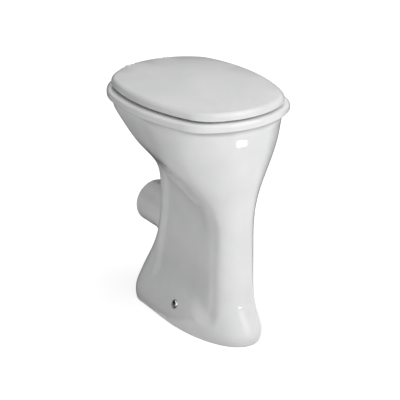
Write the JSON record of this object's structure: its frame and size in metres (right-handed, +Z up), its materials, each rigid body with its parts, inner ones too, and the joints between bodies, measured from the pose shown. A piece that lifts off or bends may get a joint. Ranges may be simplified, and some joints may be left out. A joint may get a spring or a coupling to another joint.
{
  "type": "floor-standing toilet",
  "caption": "Raised floor-standing ceramic toilet pan with horizontal rear outlet, hinged seat ring and lid, side screws to floor brackets.",
  "frame": {"origin": "on the floor, under the middle of the rim's length and width", "axes": "+Z up, +Y towards the rear where the outlet and hinges are, +X to the right seen from the front"},
  "size_m": [0.33, 0.426, 0.551],
  "materials": {
    "glazed_ceramic": "white gloss glaze",
    "white_moulded_plastic": "satin gloss",
    "grey_rubber": "matt",
    "chrome_plate": "polished plate",
    "stainless_steel": "turned",
    "natural_nylon": "moulded"
  },
  "bodies": {
    "pan": {"floor_bracket_left": "natural_nylon", "floor_bracket_right": "natural_nylon", "hinge_base_left": "white_moulded_plastic", "hinge_base_right": "white_moulded_plastic", "hinge_gasket_left": "grey_rubber", "hinge_gasket_right": "grey_rubber", "hinge_lower_gasket_left": "grey_rubber", "hinge_lower_gasket_right": "grey_rubber", "hinge_nut_left": "natural_nylon", "hinge_nut_right": "natural_nylon", "hinge_pin_left": "stainless_steel", "hinge_pin_right": "stainless_steel", "hinge_post_left": "white_moulded_plastic", "hinge_post_right": "white_moulded_plastic", "hinge_stud_left": "stainless_steel", "hinge_stud_right": "stainless_steel", "hinge_washer_left": "stainless_steel", "hinge_washer_right": "stainless_steel", "inlet_seal": "grey_rubber", "pan": "glazed_ceramic", "screw_cap_left": "chrome_plate", "screw_cap_right": "chrome_plate", "side_screw_left": "stainless_steel", "side_screw_right": "stainless_steel", "side_screw_sleeve_left": "natural_nylon", "side_screw_sleeve_right": "natural_nylon", "side_screw_washer_left": "stainless_steel", "side_screw_washer_right": "stainless_steel"},
    "seat": {"seat_ring": "white_moulded_plastic", "seat_buffers": "grey_rubber", "seat_hinge_bush_left": "natural_nylon", "seat_hinge_bush_right": "natural_nylon"},
    "lid": {"lid": "white_moulded_plastic", "lid_buffers": "grey_rubber", "lid_hinge_bush_left": "natural_nylon", "lid_hinge_bush_right": "natural_nylon"}
  },
  "joints": [
    {"name": "seat_hinge", "type": "hinge", "parent": "pan", "child": "seat", "pos_m": [0, 0.189, 0.543], "axis": [-1, 0, 0], "range_deg": [0, 95]},
    {"name": "lid_hinge", "type": "hinge", "parent": "seat", "child": "lid", "pos_m": [0, 0.189, 0.543], "axis": [-1, 0, 0], "range_deg": [0, 95]}
  ]
}
